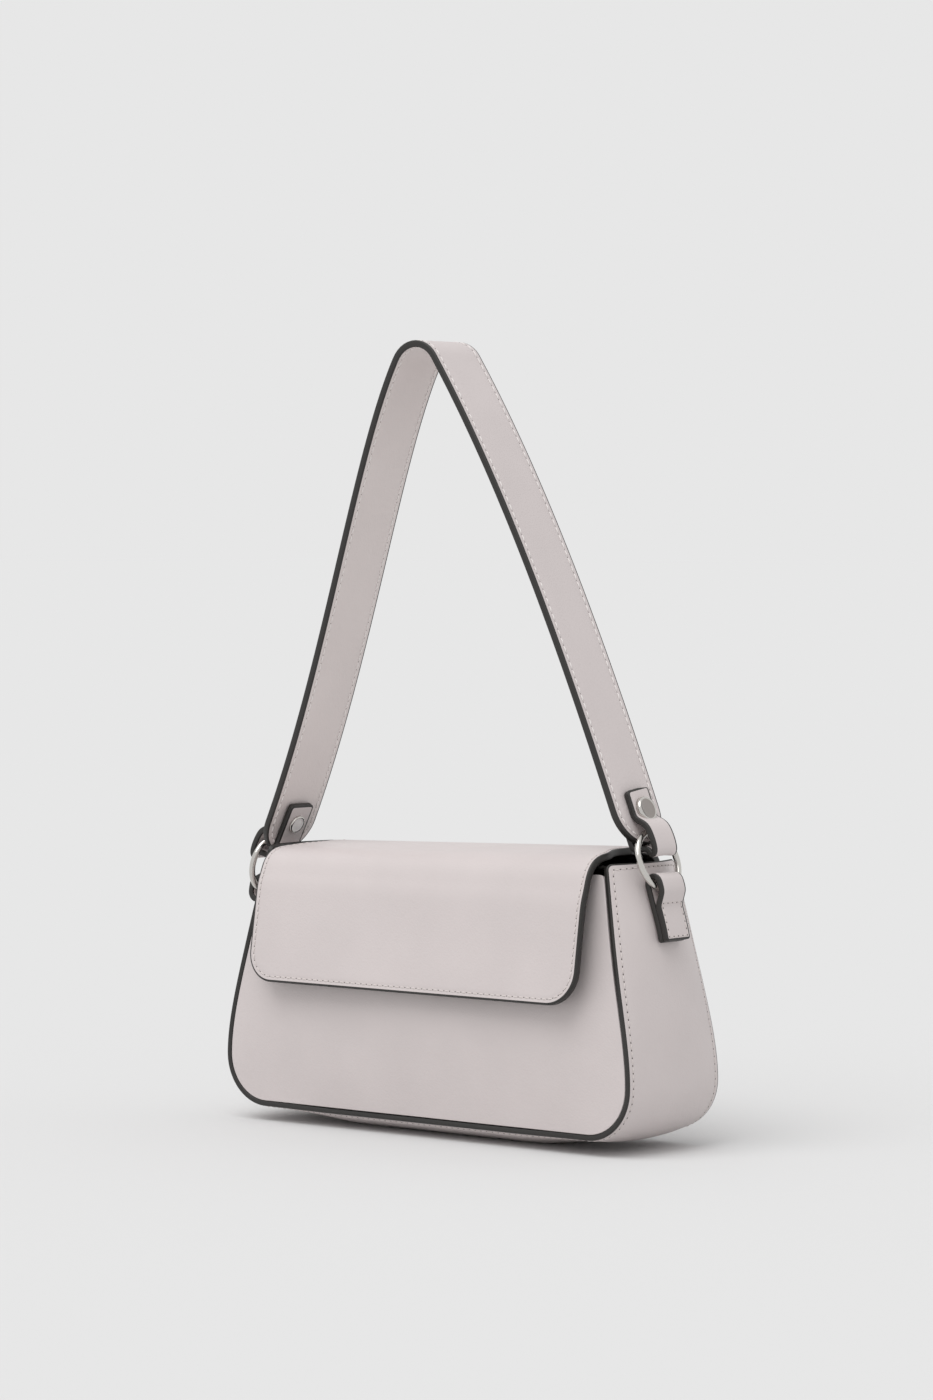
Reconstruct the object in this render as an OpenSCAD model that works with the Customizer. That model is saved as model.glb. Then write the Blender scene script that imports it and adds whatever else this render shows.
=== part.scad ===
// Small flap bag with a one-piece shoulder strap, standing on its base.
// The bag opens towards +Z, its front faces -Y, and the origin is on the ground
// under the middle of the base.

/* [Body] */
// Width at the widest point, near the base
body_w = 250; // [220:1:290]
// Width across the mouth
mouth_w = 209.8; // [190:0.2:215]
// Height of the gusset's top edge above the ground
body_h = 134.8; // [120:0.2:150]
// Radius of the two lower corners, seen from the front
corner_r = 24.8; // [18:0.2:30]
// Height of the front and back bottom edges above the ground
edge_lift = 7.5; // [6:0.1:9]
// Depth of the body at its mouth
mouth_d = 50.9; // [46:0.1:60]
// Depth of the body at its bottom edges
base_d = 68.4; // [60:0.1:80]
// How far the depth swells beyond a straight taper halfway up
waist_swell = 5.4; // [3:0.1:8]
// How steeply the sides leave the mouth
mouth_flare = 0.26; // [0.15:0.01:0.35]
// How much the sides draw in below the mouth
side_hollow = 2.2; // [0:0.1:4]

/* [Leather] */
// Thickness of the gusset leather
gusset_t = 2.5; // [2:0.1:3]
// Thickness of the front and back panels
panel_t = 2.0; // [1.5:0.1:2.5]
// Thickness of the lining
lining_t = 0.8; // [0.6:0.1:1.2]
// Height of the front and back panels' top edges
panel_top = 129.7; // [115:0.1:132]
// How far the front and back panels swell at their middle
panel_swell = 4.25; // [2:0.05:6]
// How far the gusset swells on the sides
side_swell = 9; // [4:0.5:12]
// How far the gusset swells at its top edges
top_swell = 5.5; // [2:0.5:8]
// How far the gusset swells at the lower corners
corner_swell = 3; // [2:0.5:5]
// How far the base would sink below its edges, before the ground flattens it
base_sag = 8.2; // [7.6:0.1:9]
// Thickness of the board in the base
board_t = 1.8; // [1.2:0.1:2.5]

/* [Flap] */
// Half width of the flap at the front
flap_half_w = 101.2; // [90:0.1:103]
// Half width of the flap behind the strap, where it clears the strap's ends
flap_root_half_w = 95; // [86:0.1:99]
// Height of the flap's top surface
flap_top_z = 143.75; // [140:0.05:150]
// Height of the flap's bottom edge
flap_bottom_z = 70; // [55:1:80]
// Distance that the flap's bottom edge stands forward of the middle
flap_bottom_y = 45.5; // [44:0.1:50]
// Radius of the flap's lower corners
flap_corner_r = 19; // [12:0.5:24]
// Thickness of the flap's outer leather
flap_outer_t = 2.0; // [1.6:0.1:2.4]
// Thickness of the flap's dark lining
flap_lining_t = 1.6; // [1.2:0.1:2]
// Lower end of the flap's seam on the back panel
flap_root_z = 112; // [108:1:120]

/* [Strap] */
// Width of the strap
strap_w = 34; // [28:1:40]
// Thickness of one strap ply; there are two
strap_ply_t = 1.65; // [1.4:0.05:2]
// Height of the strap's apex, measured to the middle of its thickness
apex_z = 377.6; // [340:0.2:400]
// Sideways place of the apex
apex_x = -18; // [-20:1:0]
// Bend radius at the apex, to the middle of the thickness
apex_r = 10.1; // [8:0.1:14]
// Width of the two tabs that hold the rings to the strap
tab_w = 14; // [12:0.5:16]
// Thickness of the tab leather
tab_t = 2.8; // [2.4:0.1:3.2]

/* [Rings] */
// Radius of the ring, to the middle of its wire
ring_r = 14; // [13.5:0.1:14.5]
// Diameter of the ring's wire
wire_d = 3; // [2.4:0.1:3.4]
// Width of the two leather loops on the gusset
chape_w = 17.5; // [15:0.5:20]
// Thickness of one layer of those loops
chape_t = 2.8; // [2.4:0.1:3]

/* [Fasteners] */
// Diameter of the rivets' outer caps
rivet_cap_d = 11; // [9:0.5:11]
// Diameter of the rivets' inner caps
rivet_base_d = 9.5; // [8:0.5:10]
// Diameter of the magnetic snap
snap_d = 18; // [14:0.5:20]
// Height of the snap's centre
snap_z = 86; // [82:1:92]

/* [Hidden] */

$fn = 64;
leather = "#cdc5c5";
edge_dark = "#393a37";
lining_black = "#1d1d1d";
nickel = "#c9c5bd";
board_grey = "#8a8174";

seat_gap = 0.15;      // between pieces that are sewn or glued together
run_gap = 0.3;        // between pieces that move past each other
flap_t = flap_outer_t + flap_lining_t;
wire_r = wire_d / 2;

// Plain helpers
function clamp(v, low, high) = min(max(v, low), high);
function ease(a, b, t) = a + (b - a) * (1 - cos(180 * clamp(t, 0, 1))) / 2;
function unit(v) = v / norm(v);
function left_of(v) = [-v[1], v[0]];
function bezier(p, n, first = 0) = [
    for (i = [first:n]) let (t = i / n, u = 1 - t)
        u * u * u * p[0] + 3 * u * u * t * p[1] + 3 * u * t * t * p[2] + t * t * t * p[3]];
function tangent(path, i) =
    unit(path[min(i + 1, len(path) - 1)] - path[max(i - 1, 0)]);
function shifted(path, d) = [
    for (i = [0:len(path) - 1]) path[i] + d * left_of(tangent(path, i))];
function reversed(list) = [for (i = [len(list) - 1:-1:0]) list[i]];
// A strip of a path, from d0 to d1 on the path's left
function ribbon(path, d0, d1) = concat(shifted(path, d0), reversed(shifted(path, d1)));

// Body outline seen from the front
belly_z = edge_lift + corner_r;
side_l = body_h - belly_z;
flat_x = body_w / 2 - corner_r;
function side_x(z) =
    let (t = clamp((body_h - z) / side_l, 0, 1),
         start = 2 * t * t * t - 3 * t * t + 1,
         slope = t * t * t - 2 * t * t + t,
         end = 1 - start)
    start * mouth_w / 2 + slope * side_l * mouth_flare + end * body_w / 2
    - side_hollow * 16 * t * t * (1 - t) * (1 - t);
function outline_x(z, inset) = z >= belly_z ? side_x(z) - inset
    : flat_x + sqrt(max(0, pow(corner_r - inset, 2) - pow(belly_z - z, 2)));
function depth(z) =
    let (s = (body_h - z) / (body_h - edge_lift))
    mouth_d + (base_d - mouth_d) * s + waist_swell * 4 * s * (1 - s);

side_steps = 11;
corner_steps = 6;
base_steps = 8;
// Right half of the gusset's outer line, from the mouth to the middle of the base
gusset_half = concat(
    [for (i = [0:side_steps]) let (z = body_h - side_l * i / side_steps) [side_x(z), z]],
    [for (i = [1:corner_steps]) let (a = -90 * i / corner_steps)
        [flat_x + corner_r * cos(a), belly_z + corner_r * sin(a)]],
    [for (i = [1:base_steps]) [flat_x * (1 - i / base_steps), edge_lift]]);
gusset_line = concat(gusset_half,
    [for (i = [len(gusset_half) - 2:-1:0]) [-gusset_half[i][0], gusset_half[i][1]]]);

swell_peak_z = 100;
function side_swell_at(z) = z > swell_peak_z
    ? ease(side_swell, top_swell, (z - swell_peak_z) / (body_h - swell_peak_z))
    : ease(corner_swell, side_swell, (z - belly_z) / (swell_peak_z - belly_z));
function base_sag_at(x) =
    ease(base_sag, corner_swell, (abs(x) - flat_x / 2) / (flat_x / 2));
function swell_at(p) = p[1] >= belly_z ? side_swell_at(p[1])
    : p[1] > edge_lift + 0.01 ? corner_swell : base_sag_at(p[0]);
// Outermost half width of the gusset, at the middle of its depth
function gusset_x(z) = side_x(z) + side_swell_at(z);

// Swell of the front and back panels; it ends below the flap's seam
panel_foot = edge_lift + gusset_t + seat_gap;
swell_top_z = 110;
panel_recess = 0.4;
function panel_swell_at(x, z) =
    let (k = clamp((z - edge_lift) / (swell_top_z - edge_lift), 0, 1),
         w = clamp(x / outline_x(z, gusset_t), -1, 1))
    panel_swell * sin(180 * k) * (1 - w * w);
function panel_y(x, z) = depth(z) / 2 - panel_recess + panel_swell_at(x, z);

// Flap section in the YZ plane, along its outer face, from the seam on the back
// over the top to the bottom edge
flap_hinge_y = 12;
seam_y = panel_y(0, flap_root_z) + flap_t + 2 * seat_gap;
seam_top_y = panel_y(0, panel_top) + flap_t + 2 * seat_gap;
front_y = flap_bottom_y - 6.3;
front_z = flap_top_z - 30.75;
root_line = concat(
    [[seam_y, flap_root_z], [(seam_y + seam_top_y) / 2, (flap_root_z + panel_top) / 2]],
    bezier([[seam_top_y, panel_top], [seam_top_y - 0.8, panel_top + 9.5],
            [23, flap_top_z], [flap_hinge_y, flap_top_z]], 8));
fold_line = bezier([[-8, flap_top_z - 0.35], [-26.5, flap_top_z - 0.75],
                    [-36.6, front_z + 18], [-front_y, front_z]], 20);
fold_i = 9;
top_line = concat([[flap_hinge_y, flap_top_z], [2, flap_top_z - 0.1]],
    [for (i = [0:fold_i]) fold_line[i]]);
fall_line = concat([for (i = [fold_i:20]) fold_line[i]],
    [for (i = [1:3]) [-front_y - (flap_bottom_y - front_y) * i / 3,
                      front_z + (flap_bottom_z - front_z) * i / 3]]);
flap_slope = atan((flap_bottom_y - front_y) / (front_z - flap_bottom_z));

// Strap line in the XZ plane, along the middle of its thickness
left_end = [-121.2, 130];
right_end = [108.2, 142.5];
apex_c = [apex_x, apex_z - apex_r];
left_leave = 154;
right_leave = 29;
apex_start = apex_c + apex_r * [cos(left_leave), sin(left_leave)];
apex_end = apex_c + apex_r * [cos(right_leave), sin(right_leave)];
leg_steps = 12;
apex_steps = 8;
strap_line = concat(
    bezier([left_end, [-77, 216], [-60, 318], apex_start], leg_steps),
    [for (i = [1:apex_steps]) let (a = left_leave + (right_leave - left_leave) * i / apex_steps)
        apex_c + apex_r * [cos(a), sin(a)]],
    bezier([apex_end, [42, 300], [80, 212], right_end], leg_steps, 1));
// Directions up the strap at its two ends
left_up = unit(strap_line[1] - strap_line[0]);
right_up = unit(strap_line[len(strap_line) - 2] - strap_line[len(strap_line) - 1]);

// Rings: place of the centre, and how far the top leans towards the middle
ring_right_c = [115.5, 135.5];
ring_left_c = [-126.4, 122.9];
ring_right_lean = 20;
ring_left_lean = 12;

// Tab line in the strap end's own frame: x outwards from the strap, y up it
leg_n = strap_ply_t + tab_t / 2 + seat_gap;
tab_top = 24;
tab_inner_top = 22;
tab_line = concat(
    [[leg_n, tab_top]],
    bezier([[leg_n, 11.2], [leg_n + 0.2, 7.8], [10.4, 8.5], [10.8, 3.5]], 8),
    bezier([[10.8, 3.5], [11.2, -1], [8.5, -3.4], [4.6, -3.4]], 6, 1),
    bezier([[4.6, -3.4], [0.6, -3.4], [-leg_n, -3.6], [-leg_n, 0.4]], 6, 1),
    [[-leg_n, tab_inner_top]]);
rivet_s = 17.2;
rivet_hole_d = 3.4;
rivet_post_d = 3.2;
rivet_cap_h = 2;
rivet_base_h = 1.5;

// Loops on the gusset
chape_foot_z = 98;
chape_box_z = 114;
loop_r = 2.2;

// A closed sheet between two grids of points, given as rows of equal length
module sheet(outer, inner) {
    rows = len(outer);
    cols = len(outer[0]);
    n = rows * cols;
    skin = [for (i = [0:rows - 2], j = [0:cols - 2]) let (a = i * cols + j)
        each [[a, a + 1, a + cols + 1], [a, a + cols + 1, a + cols]]];
    back = [for (f = skin) [f[2] + n, f[1] + n, f[0] + n]];
    ends = [for (a = [0:cols - 2]) let (b = n - cols + a)
        each [[a + 1, a, a + n], [a + 1, a + n, a + n + 1],
              [b, b + 1, b + n + 1], [b, b + n + 1, b + n]]];
    sides = [for (i = [0:rows - 2]) let (a = i * cols, b = a + cols - 1)
        each [[a, a + cols, a + cols + n], [a, a + cols + n, a + n],
              [b + cols, b, b + n], [b + cols, b + n, b + cols + n]]];
    polyhedron([for (r = outer) each r, for (r = inner) each r],
               concat(skin, back, ends, sides));
}

// Gusset sheets: rows run along the gusset, columns across its depth
across = 6;
function body_point(p, out, y, inset) =
    let (v = 2 * y / depth(p[1]),
         off = swell_at(p) * (1 - v * v) - inset)
    [p[0] + out[0] * off, y, max(p[1] + out[1] * off, inset)];
// The sides' top edges swell straight outwards, so that they stay level
function top_out(line, i) =
    line[i][1] == body_h ? [sign(line[i][0]), 0] : left_of(tangent(line, i));
function gusset_grid(line, inset, rise, trim) = [
    for (i = [0:len(line) - 1])
        let (out = top_out(line, i),
             k = inset + rise * ease(0, 1, (belly_z - line[i][1]) / corner_r))
        [for (j = [-across:across])
            body_point(line[i], out, j / across * (depth(line[i][1]) / 2 - trim), k)]];

// The rows of the gusset's line that run along the base, under the board
board_rows = [for (p = gusset_line) if (p[1] == edge_lift && abs(p[0]) < flat_x - 10) p];
board_across = 4;
function board_grid(inset) = [
    for (p = board_rows)
        [for (j = [-board_across:board_across])
            body_point(p, [0, -1], j / across * depth(p[1]) / 2, inset)]];

// Panel sheets: rows run upwards, columns to the right
panel_cols = 8;
function panel_zs(inset, top) = concat(
    [for (i = [0:5]) belly_z - (corner_r - inset) * cos(18 * i)],
    [for (i = [1:9]) belly_z + (top - belly_z) * i / 9]);
function panel_grid(inset, top, off) = [
    for (z = panel_zs(inset, top))
        [for (j = [-panel_cols:panel_cols])
            let (x = outline_x(z, inset) * j / panel_cols)
            [x, panel_y(x, z) - off, z]]];

module back_sheet(inset, top, off, t) {
    sheet(panel_grid(inset, top, off), panel_grid(inset, top, off + t));
}

// Extrusions of sections drawn in the YZ and XZ planes
module across_x(width) {
    rotate([90, 0, 90]) linear_extrude(width, center = true) children();
}
module across_y(width) {
    rotate([90, 0, 0]) linear_extrude(width, center = true) children();
}

// Body
washer_t = 0.6;
washer_gap = 0.25;
washer_room = washer_t + washer_gap + seat_gap;
snap_tilt = atan((panel_y(0, snap_z - 3) - panel_y(0, snap_z + 3)) / 6);
snap_y = panel_y(0, snap_z);
shank_d = 4;
shank_hole_d = 4.4;

// Frame of the snap's socket: its base lies on the front panel, Z points out of the bag
module at_socket() {
    translate([0, -snap_y, snap_z]) rotate([90 - snap_tilt, 0, 0]) children();
}

module gusset() {
    color(leather)
        sheet(gusset_grid(gusset_line, 0, 0, 0), gusset_grid(gusset_line, gusset_t, 0, 0));
}

module front_panel() {
    color(leather)
        difference() {
            mirror([0, 1, 0]) back_sheet(gusset_t + 2 * seat_gap, panel_top, 0, panel_t);
            at_socket() cylinder(d = shank_hole_d, h = 12, center = true);
        }
}

module back_panel() {
    color(leather) back_sheet(gusset_t + 2 * seat_gap, panel_top, 0, panel_t);
}

lining_top = panel_top - 2;
lining_inset = gusset_t - 0.2;
lining_off = panel_t + washer_room;
lining_trim = panel_recess + lining_off + lining_t + seat_gap;
lining_line = [for (p = gusset_line) if (p[1] < body_h - 1) p];

module lining_front() {
    color(lining_black)
        mirror([0, 1, 0]) back_sheet(lining_inset, lining_top, lining_off, lining_t);
}

module lining_back() {
    color(lining_black) back_sheet(lining_inset, lining_top, lining_off, lining_t);
}

module lining_gusset() {
    near = gusset_t + seat_gap;
    rise = board_t + 2 * seat_gap;
    color(lining_black)
        sheet(gusset_grid(lining_line, near, rise, lining_trim),
              gusset_grid(lining_line, near + lining_t, rise, lining_trim));
}

module base_board() {
    near = gusset_t + seat_gap;
    color(board_grey) sheet(board_grid(near), board_grid(near + board_t));
}

// Flap, as one line split in three parts
flap_line = concat(root_line, [for (i = [1:len(top_line) - 1]) top_line[i]],
                   [for (i = [1:len(fall_line) - 1]) fall_line[i]]);
hinge_i = len(root_line) - 1;
split_i = hinge_i + len(top_line) - 1;
last_i = len(flap_line) - 1;
function flap_point(i, d, ahead) =
    let (t = tangent(flap_line, i)) flap_line[i] + d * left_of(t) + ahead * t;
function flap_strip(first, last, d0, d1, ahead = 0) = concat(
    [for (i = [first:last]) flap_point(i, d0, i == first ? ahead : 0)],
    [for (i = [last:-1:first]) flap_point(i, d1, i == first ? ahead : 0)]);
flap_part_gap = 0.2;

// Plan of the flap: full width in front of the strap, narrower behind it
module flap_plan() {
    linear_extrude(160)
        polygon([[-flap_half_w, -60], [flap_half_w, -60],
                 [flap_half_w, -13.5], [flap_root_half_w, -5], [flap_root_half_w, 60],
                 [-flap_root_half_w, 60], [-flap_root_half_w, -5], [-flap_half_w, -13.5]]);
}

// Front outline of the flap, with its two rounded lower corners
module flap_front_outline() {
    r = flap_corner_r;
    mid = flap_half_w - r;
    across_y(140) {
        translate([-flap_half_w, flap_bottom_z + r]) square([2 * flap_half_w, 80]);
        translate([-mid, flap_bottom_z - 1]) square([2 * mid, r + 2]);
        for (side = [-1, 1]) translate([side * mid, flap_bottom_z + r]) circle(r);
    }
}

module flap_root() {
    color(leather)
        intersection() {
            across_x(220) polygon(flap_strip(0, hinge_i, 0, flap_outer_t));
            flap_plan();
        }
}

module flap_root_lining() {
    color(edge_dark)
        intersection() {
            across_x(220) polygon(flap_strip(0, hinge_i, flap_outer_t, flap_t));
            flap_plan();
        }
}

module flap_top() {
    color(leather)
        intersection() {
            across_x(220) polygon(flap_strip(hinge_i, split_i, 0, flap_outer_t));
            flap_plan();
        }
}

module flap_top_lining() {
    color(edge_dark)
        intersection() {
            across_x(220) polygon(flap_strip(hinge_i, split_i, flap_outer_t, flap_t));
            flap_plan();
        }
}

module flap_fall() {
    color(leather)
        intersection() {
            across_x(220)
                polygon(flap_strip(split_i, last_i, 0, flap_outer_t, flap_part_gap));
            flap_front_outline();
        }
}

module flap_fall_lining() {
    color(edge_dark)
        difference() {
            intersection() {
                across_x(220)
                    polygon(flap_strip(split_i, last_i, flap_outer_t, flap_t, flap_part_gap));
                flap_front_outline();
            }
            at_stud() cylinder(d = shank_hole_d, h = 12, center = true);
            at_stud() translate([0, 0, stud_washer_foot - 0.05])
                cylinder(d = snap_d + 0.4, h = 4);
        }
}

// Magnetic snap, hidden under the flap
stud_flange_t = 1.5;
stud_boss_d = 8;
stud_boss_h = 1.6;
socket_hole_d = 9.6;
magnet_t = 2;
shell_t = 0.5;
// Middle of the snap on the flap's inner face, straight out from the socket
flap_in_y = front_y + (front_z - snap_z) * tan(flap_slope) - flap_t / cos(flap_slope);
snap_room = (flap_in_y - snap_y) * cos(flap_slope);
stud_z = snap_z + snap_room * sin(flap_slope);
stud_y = front_y + (front_z - stud_z) * tan(flap_slope) - flap_t / cos(flap_slope);
socket_h = snap_room - stud_flange_t - run_gap - 0.45;
stud_washer_foot = flap_lining_t - washer_t - 0.1;

// Frame of the stud: its flange lies on the flap's lining, Z points out of the bag
module at_stud() {
    translate([0, -stud_y, stud_z]) rotate([90 - flap_slope, 0, 0]) children();
}

module snap_socket() {
    color(nickel)
        at_socket() {
            difference() {
                translate([0, 0, 0.05]) cylinder(d = snap_d, h = socket_h);
                translate([0, 0, -1]) cylinder(d = socket_hole_d, h = socket_h + 4);
                translate([0, 0, 0.05 + shell_t])
                    cylinder(d = snap_d - 2 * shell_t, h = magnet_t + 0.1);
            }
            translate([0, 0, 0.05]) cylinder(d = socket_hole_d + 0.1, h = shell_t);
            translate([0, 0, -panel_t - washer_room + seat_gap])
                cylinder(d = shank_d, h = panel_t + washer_room);
        }
}

module snap_magnet() {
    color(edge_dark)
        at_socket()
            difference() {
                translate([0, 0, 0.1 + shell_t])
                    cylinder(d = snap_d - 2 * shell_t - 0.1, h = magnet_t);
                cylinder(d = socket_hole_d + 0.1, h = 9);
            }
}

module snap_socket_washer() {
    color(nickel)
        at_socket()
            translate([0, 0, -panel_t - washer_gap - washer_t])
                difference() {
                    cylinder(d = snap_d - 2, h = washer_t);
                    translate([0, 0, -1]) cylinder(d = shank_hole_d, h = 3);
                }
}

module snap_stud() {
    color(nickel)
        at_stud() {
            translate([0, 0, -0.05 - stud_flange_t])
                cylinder(d = snap_d - 1, h = stud_flange_t);
            translate([0, 0, -0.05 - stud_flange_t - stud_boss_h])
                cylinder(d = stud_boss_d, h = stud_boss_h + 0.5);
            translate([0, 0, -0.5]) cylinder(d = shank_d, h = flap_lining_t + 0.45);
        }
}

module snap_stud_washer() {
    color(nickel)
        at_stud()
            translate([0, 0, stud_washer_foot])
                difference() {
                    cylinder(d = snap_d - 1, h = washer_t);
                    translate([0, 0, -1]) cylinder(d = shank_hole_d, h = 3);
                }
}

// Loops that hold the rings to the gusset; their sections lie in the XZ plane
// Height and half width of the gusset's outer surface, at the middle of its depth
wall = [for (i = [0:side_steps])
    let (q = body_point(gusset_half[i], top_out(gusset_line, i), 0, 0)) [q[2], q[0]]];
function wall_x(z) = lookup(z, wall);
chape_inner = [for (z = concat([chape_foot_z],
        [for (w = reversed(wall)) if (w[0] > chape_foot_z + 1 && w[0] < chape_box_z - 1) w[0]],
        [chape_box_z])) [wall_x(z) + 0.2, z]];
chape_a = chape_inner[0];
chape_b = chape_inner[len(chape_inner) - 1];
chape_outer = shifted(chape_inner, -2 * chape_t);
chape_b2 = chape_outer[len(chape_outer) - 1];
chape_mid = (chape_b + chape_b2) / 2;
loop_out_r = loop_r + chape_t;
function ring_bottom(c, lean) = [abs(c[0]) + ring_r * sin(lean), c[1] - ring_r * cos(lean)];
right_wire = ring_bottom(ring_right_c, ring_right_lean);
left_wire = ring_bottom(ring_left_c, ring_left_lean);
// The ring's wire rises towards the loop's two edges, so the loop is taller than the wire
loop_rise = ring_r - sqrt(ring_r * ring_r - chape_w * chape_w / 4) + wire_r + 0.85 - loop_r;
right_top = right_wire + loop_rise * [-sin(ring_right_lean), cos(ring_right_lean)];
left_top = left_wire + loop_rise * [-sin(ring_left_lean), cos(ring_left_lean)];
// Points of an arc, from angle a to angle b
function arc(c, r, a, b, n = 14) = [
    for (i = [0:n]) let (t = a + (b - a) * i / n) c + r * [cos(t), sin(t)]];

// Loop standing up from its sewn foot
module chape_right() {
    lean = 90 + ring_right_lean / 2;
    color(leather)
        across_y(chape_w)
            difference() {
                polygon(concat(chape_inner,
                               arc(right_top, loop_out_r, lean + 95, lean - 80),
                               arc(right_wire, loop_out_r, lean - 80, lean - 100, 3),
                               reversed(chape_outer)));
                polygon(concat(arc(right_top, loop_r, lean + 90, lean - 90),
                               arc(right_wire, loop_r, lean - 90, lean - 110, 2),
                               [chape_mid],
                               arc(right_wire, loop_r, lean + 110, lean + 90, 2)));
            }
}

// The same loop, bent over outwards by the weight of the strap
module chape_left() {
    hood = [chape_b + [0.2, 3.2], chape_b + [2, 5.4], chape_b + [5, 6.3], chape_b + [8, 5.4]];
    foot = [for (q = reversed(chape_outer)) if (q[1] < left_wire[1] - 2) q];
    color(leather)
        mirror([1, 0, 0])
            across_y(chape_w)
                difference() {
                    polygon(concat(chape_inner, hood,
                                   arc(left_top, loop_out_r, 66, 5, 6),
                                   arc(left_wire, loop_out_r, 0, -140), foot));
                    polygon(concat(arc(left_top, loop_r, 100, 5, 6),
                                   arc(left_wire, loop_r, 0, -180),
                                   [chape_mid + [0.8, 0.2], chape_mid + [1.2, 1.4]]));
                }
}

// Rings
module ring(c, tilt) {
    color(nickel)
        translate([c[0], 0, c[1]]) rotate([0, tilt, 0])
            rotate_extrude() translate([ring_r, 0]) circle(d = wire_d);
}

module ring_right() {
    ring(ring_right_c, 90 - ring_right_lean);
}

module ring_left() {
    ring(ring_left_c, 90 + ring_left_lean);
}

// Frame of a strap end: X points outwards from the strap, Z up along it
module at_right_end() {
    translate([right_end[0], 0, right_end[1]])
        rotate([0, atan2(right_up[0], right_up[1]), 0]) children();
}

module at_left_end() {
    translate([left_end[0], 0, left_end[1]])
        rotate([0, atan2(left_up[0], left_up[1]), 0]) mirror([1, 0, 0]) children();
}

// Everything that is cut from a strap end: its two corners and the rivet's hole
module end_cut() {
    r = strap_w / 2 + 0.5;
    across_x(12)
        difference() {
            translate([-r - 3, -4]) square([2 * r + 6, r + 4]);
            translate([0, r]) circle(r);
        }
    rivet_hole();
}

module rivet_hole() {
    translate([0, 0, rivet_s]) rotate([0, 90, 0])
        cylinder(d = rivet_hole_d, h = 30, center = true);
}

module strap_outer() {
    color(leather)
        difference() {
            across_y(strap_w) polygon(ribbon(strap_line, strap_ply_t, 0));
            at_left_end() end_cut();
            at_right_end() end_cut();
        }
}

module strap_inner() {
    color(leather)
        difference() {
            across_y(strap_w) polygon(ribbon(strap_line, 0, -strap_ply_t));
            at_left_end() end_cut();
            at_right_end() end_cut();
        }
}

module tab() {
    color(leather)
        difference() {
            across_y(tab_w) polygon(ribbon(tab_line, tab_t / 2, -tab_t / 2));
            rivet_hole();
        }
}

module tab_left() {
    at_left_end() tab();
}

module tab_right() {
    at_right_end() tab();
}

cap_n = leg_n + tab_t / 2 + 0.05;
post_sink = 0.9;

module rivet_cap() {
    r = rivet_cap_d / 2;
    color(nickel)
        translate([cap_n, 0, rivet_s]) rotate([0, 90, 0])
            rotate_extrude()
                polygon([[rivet_hole_d / 2, 0], [r, 0], [r, rivet_cap_h - 0.8],
                         [r - 1.5, rivet_cap_h], [0, rivet_cap_h],
                         [0, post_sink + 0.1], [rivet_hole_d / 2, post_sink + 0.1]]);
}

module rivet_base() {
    r = rivet_base_d / 2;
    color(nickel)
        translate([-cap_n - rivet_base_h, 0, rivet_s]) rotate([0, 90, 0])
            rotate_extrude()
                polygon([[0, 0], [r - 0.6, 0], [r, 0.6], [r, rivet_base_h],
                         [rivet_post_d / 2, rivet_base_h],
                         [rivet_post_d / 2, rivet_base_h + 2 * cap_n + post_sink],
                         [0, rivet_base_h + 2 * cap_n + post_sink]]);
}

module rivet_cap_left() {
    at_left_end() rivet_cap();
}

module rivet_base_left() {
    at_left_end() rivet_base();
}

module rivet_cap_right() {
    at_right_end() rivet_cap();
}

module rivet_base_right() {
    at_right_end() rivet_base();
}

gusset();
front_panel();
back_panel();
lining_front();
lining_back();
lining_gusset();
base_board();
flap_root();
flap_root_lining();
flap_top();
flap_top_lining();
flap_fall();
flap_fall_lining();
snap_socket();
snap_magnet();
snap_socket_washer();
snap_stud();
snap_stud_washer();
chape_left();
chape_right();
ring_left();
ring_right();
strap_outer();
strap_inner();
tab_left();
tab_right();
rivet_cap_left();
rivet_base_left();
rivet_cap_right();
rivet_base_right();
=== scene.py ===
import math

import bpy
import numpy as np
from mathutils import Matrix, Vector, noise
from mathutils.geometry import delaunay_2d_cdt


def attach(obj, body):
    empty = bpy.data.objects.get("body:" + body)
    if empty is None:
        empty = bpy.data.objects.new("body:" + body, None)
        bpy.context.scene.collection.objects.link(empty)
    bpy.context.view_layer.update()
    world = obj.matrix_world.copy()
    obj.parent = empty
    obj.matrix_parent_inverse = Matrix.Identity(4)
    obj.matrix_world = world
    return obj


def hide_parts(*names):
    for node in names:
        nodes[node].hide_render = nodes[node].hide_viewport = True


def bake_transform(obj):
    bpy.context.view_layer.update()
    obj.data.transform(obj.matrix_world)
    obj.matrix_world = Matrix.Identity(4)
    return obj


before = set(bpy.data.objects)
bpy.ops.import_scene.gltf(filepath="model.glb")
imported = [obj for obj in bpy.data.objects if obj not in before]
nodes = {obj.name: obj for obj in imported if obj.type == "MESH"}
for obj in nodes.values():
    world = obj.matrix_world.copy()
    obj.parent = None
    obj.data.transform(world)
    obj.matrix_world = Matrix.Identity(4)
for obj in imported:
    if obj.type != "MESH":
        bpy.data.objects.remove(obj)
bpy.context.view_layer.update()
MM = 0.001

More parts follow.
